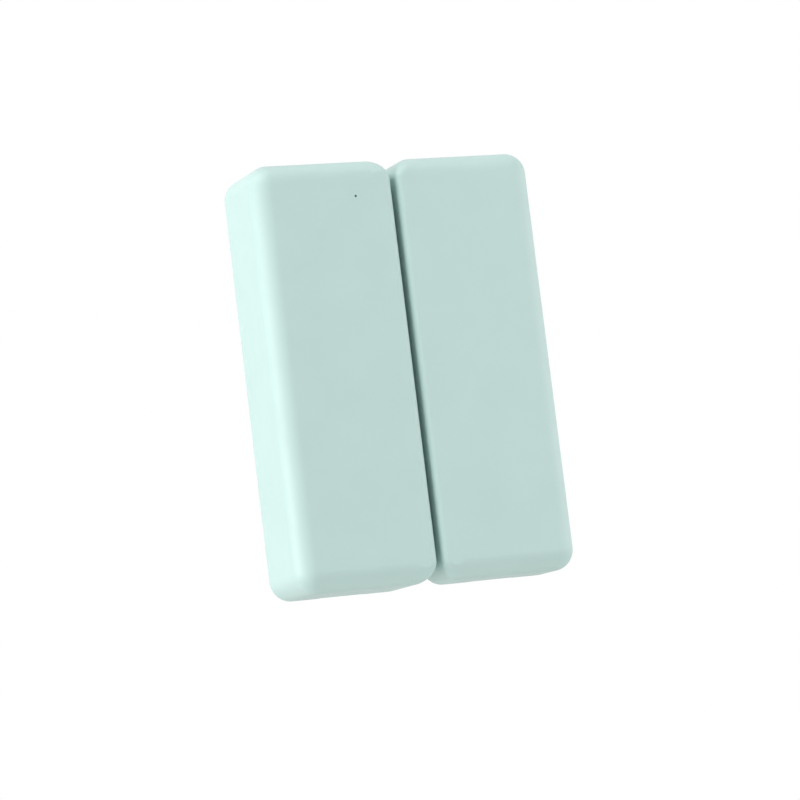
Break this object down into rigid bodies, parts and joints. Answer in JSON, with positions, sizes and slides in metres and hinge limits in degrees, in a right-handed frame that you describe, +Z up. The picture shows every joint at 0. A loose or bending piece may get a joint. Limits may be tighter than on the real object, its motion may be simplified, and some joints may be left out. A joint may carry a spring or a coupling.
{
  "type": "door contact sensor",
  "caption": "Wireless door contact sensor: rounded upright sensor unit whose cover pulls off its cell, board and reed switch, with a matching magnet unit beside it.",
  "frame": {"origin": "middle of the sensor unit's adhesive face, on the wall plane", "axes": "+X from the sensor unit towards the magnet unit, +Y into the wall, +Z up along the units' long sides; the fronts face -Y"},
  "size_m": [0.0504, 0.0163, 0.072],
  "materials": {
    "mint_shell": "fine satin moulding",
    "inner_plastic": "plain moulding",
    "foam_pad": "closed-cell foam with adhesive",
    "clear_plastic": "clear moulding",
    "board": "solder mask",
    "steel": "bright",
    "tinned": "tin plated",
    "film": "shrunk film",
    "seal": "plain",
    "reed_glass": "clear green glass",
    "resin": "moulded resin",
    "ceramic": "fired ceramic",
    "led": "clear resin",
    "button": "plain",
    "ferrite": "sintered",
    "tantalum": "moulded resin",
    "capacitor": "fired ceramic"
  },
  "bodies": {
    "sensor_unit": {"sensor_base": "inner_plastic", "sensor_adhesive_pad": "foam_pad", "circuit_board": "board", "board_screws": "steel", "battery_can": "steel", "battery_sleeve": "film", "battery_seal": "seal", "battery_negative_cap": "steel", "positive_contact": "tinned", "negative_contact": "tinned", "negative_spring": "steel", "reed_glass": "reed_glass", "reed_fixed_blade": "steel", "reed_lead": "steel", "radio_chip": "resin", "crystal": "tinned", "chip_antenna": "ceramic", "status_led": "led", "switch_housing": "resin", "switch_plate": "tinned", "switch_legs": "tinned", "boost_coil": "ferrite", "boost_regulator": "resin", "storage_capacitor": "tantalum", "chip_capacitors": "capacitor", "chip_resistors": "resin"},
    "cover": {"sensor_cover": "mint_shell", "light_pipe": "clear_plastic"},
    "button": {"pairing_button": "button"},
    "reed_blade": {"reed_moving_blade": "steel"},
    "magnet_unit": {"magnet_cover": "mint_shell", "magnet_base": "inner_plastic", "bar_magnet": "ferrite", "magnet_spacer": "inner_plastic", "magnet_adhesive_pad": "foam_pad"}
  },
  "joints": [
    {"name": "magnet_slide", "type": "slide", "parent": "sensor_unit", "child": "magnet_unit", "axis": [1, 0, 0], "range_m": [0, 0.04]},
    {"name": "cover_pull", "type": "slide", "parent": "sensor_unit", "child": "cover", "axis": [0, -1, 0], "range_m": [0, 0.045]},
    {"name": "pairing_button_press", "type": "slide", "parent": "sensor_unit", "child": "button", "axis": [0, 1, 0], "range_m": [0, 0.00025], "stiffness_N_per_m": 2000},
    {"name": "reed_blade_flex", "type": "hinge", "parent": "sensor_unit", "child": "reed_blade", "pos_m": [0.0073, -0.00692, -0.00515], "axis": [-1, 0, 0], "range_deg": [0, 1.5]}
  ],
  "couplings": [
    {"joint": "reed_blade_flex", "follows": "magnet_slide", "rad_per_m": 0.65}
  ]
}
